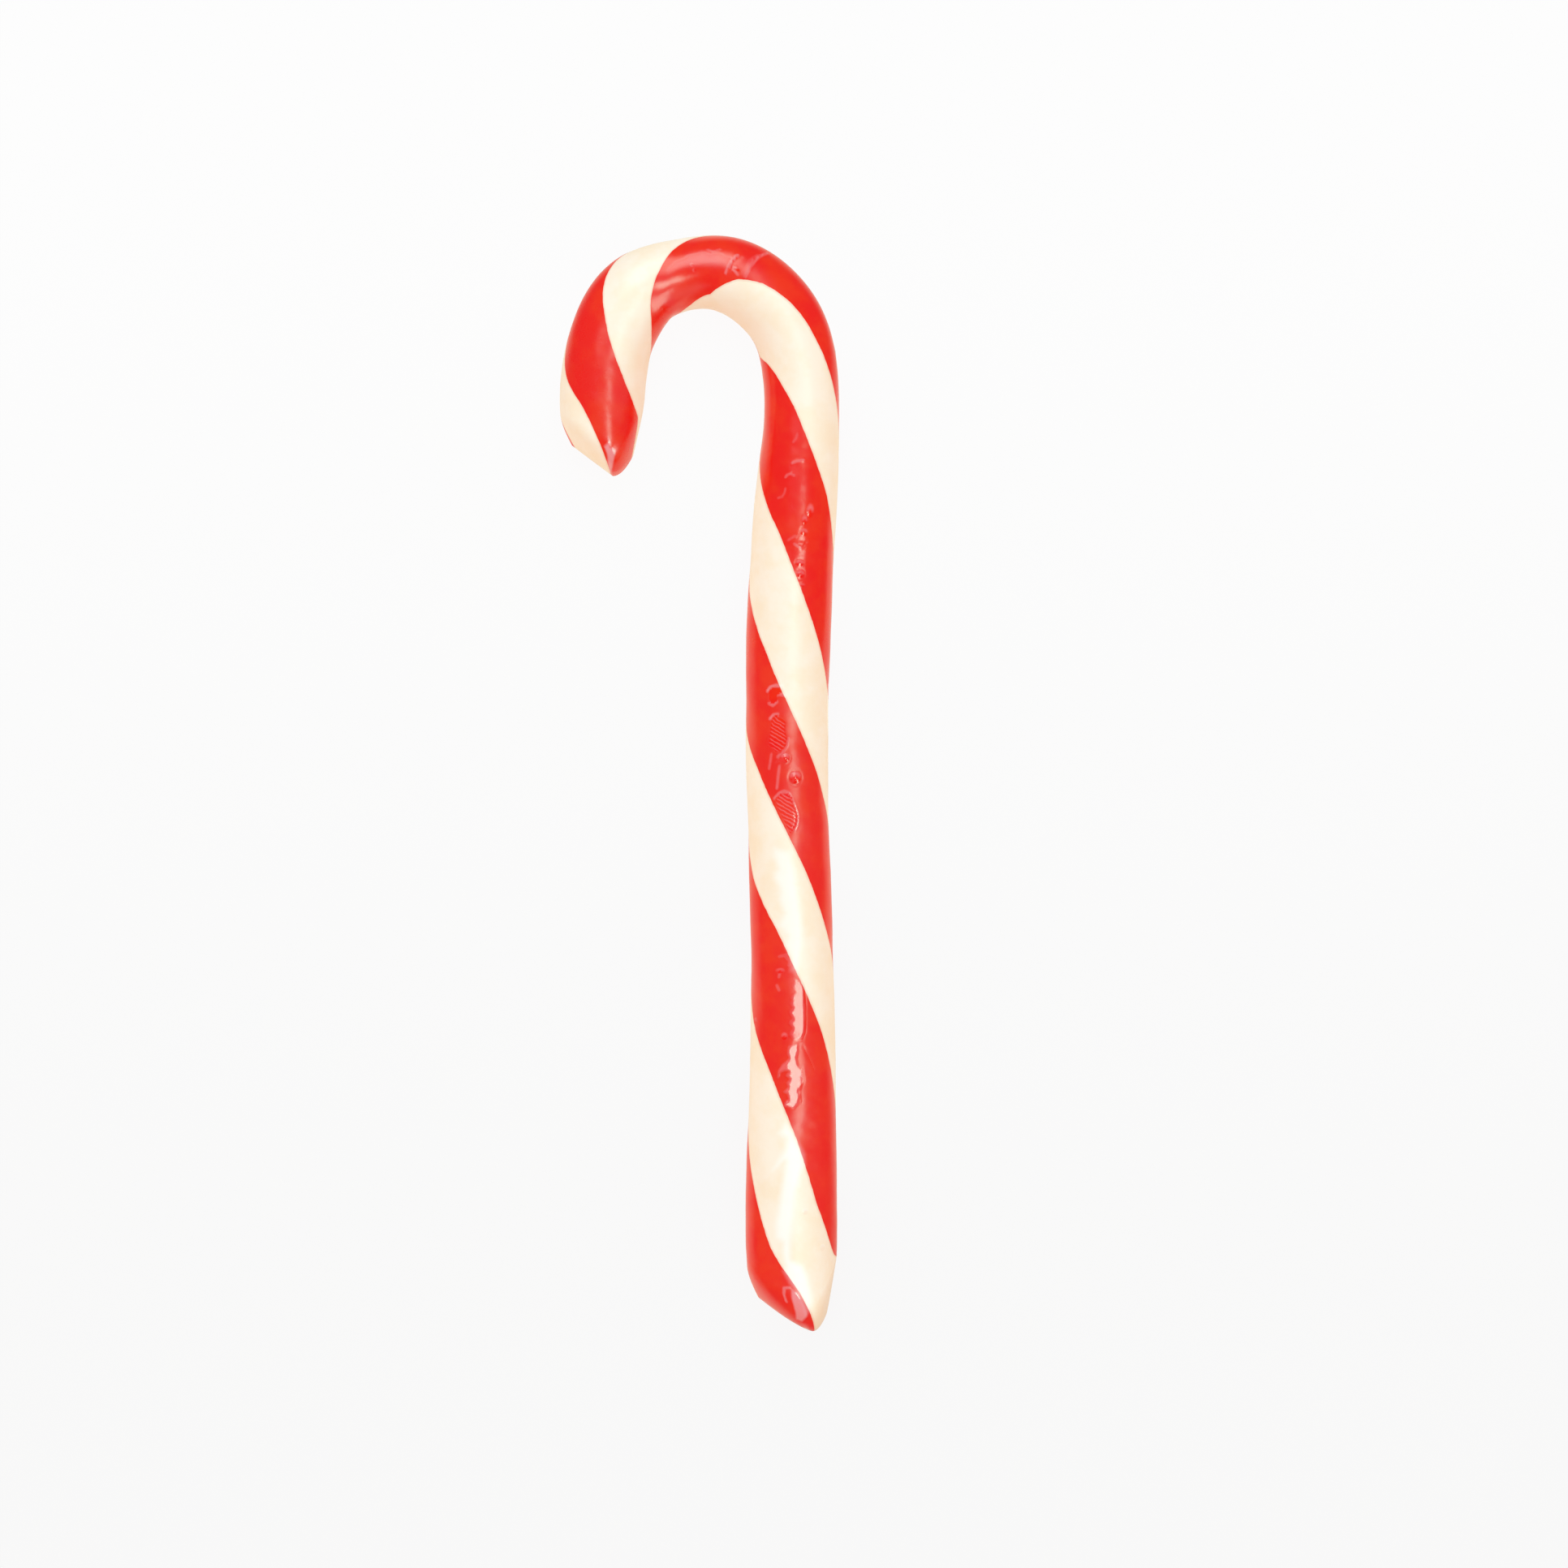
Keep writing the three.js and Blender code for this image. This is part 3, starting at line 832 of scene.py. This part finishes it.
def layFloor():
    half = studio["floorWidth"] / 2
    mesh = bpy.data.meshes.new("floor")
    corners = [(-half, -half, 0), (half, -half, 0), (half, half, 0), (-half, half, 0)]
    mesh.from_pydata(corners, [], [(0, 1, 2, 3)])
    floor = bpy.data.objects.new("floor", mesh)
    floor.location.z = caneLow.z - studio["floorGap"] * mm
    bpy.context.collection.objects.link(floor)
    finish = Finish(bpy.data.materials.new("paleFloor"))
    place = finish.node("ShaderNodeTexCoord", {}, {}, "Object")
    part = finish.node("ShaderNodeSeparateXYZ", {}, {"Vector": place}, "Y")
    glow = finish.ramp(part, -studio["glowReach"], studio["glowReach"])
    backdrop = finish.mix(glow, studio["nearGlow"], studio["farGlow"])
    halfWidth, halfLength = studio["shineReach"]
    reach = (halfWidth, halfLength, 1)
    scaled = finish.node("ShaderNodeVectorMath", {"operation": "DIVIDE"}, {0: place, 1: reach})
    far = finish.node("ShaderNodeVectorMath", {"operation": "LENGTH"}, {0: scaled}, "Value")
    shine = finish.mix(finish.ramp(far, *studio["shineEdge"]), studio["nearShine"], studio["farShine"])
    surface = finish.node("ShaderNodeBsdfPrincipled", {}, {
        "Base Color": studio["floorColour"],
        "Roughness": 0.9,
        "Specular IOR Level": 0.0,
        "Emission Color": seenBy(finish, backdrop, shine),
        "Emission Strength": 1.0,
    })
    floor.data.materials.append(finish.finish(surface))
    floor.data.materials[0].cycles.emission_sampling = "NONE"


def addSoftbox(name, box):
    lean = [math.radians(v) for v in box["lean"]]
    side = [math.radians(v) for v in box["side"]]
    middle = Vector((math.tan(sum(side) / 2), math.tan(sum(lean) / 2), 1)).normalized()
    data = bpy.data.lights.new(name, "AREA")
    data.shape = "RECTANGLE"
    data.size = 2 * box["away"] * math.tan((side[1] - side[0]) / 2)
    data.size_y = 2 * box["away"] * math.tan((lean[1] - lean[0]) / 2)
    data.energy = box["brightness"] * math.pi * data.size * data.size_y
    data.color = box.get("colour", (1, 1, 1))
    light = bpy.data.objects.new(name, data)
    light.location = caneMiddle + middle * box["away"]
    light.rotation_euler = middle.to_track_quat("Z", "Y").to_euler()
    light.visible_glossy = not box["lights"]
    light.visible_diffuse = box["lights"]
    bpy.context.collection.objects.link(light)


def lightStudio():
    for name, box in softboxes.items():
        addSoftbox(name, box)
    finish = Finish(bpy.data.worlds.new("studio"))
    sky = finish.node("ShaderNodeBackground", {}, {"Color": seenBy(finish, studio["sky"], studio["skyShine"])})
    bpy.context.scene.world = finish.finish(sky, "ShaderNodeOutputWorld")


placeCamera()
layFloor()
lightStudio()
bpy.context.scene.view_settings.view_transform = "Standard"
bpy.context.scene.view_settings.look = "None"
print("studio ready")
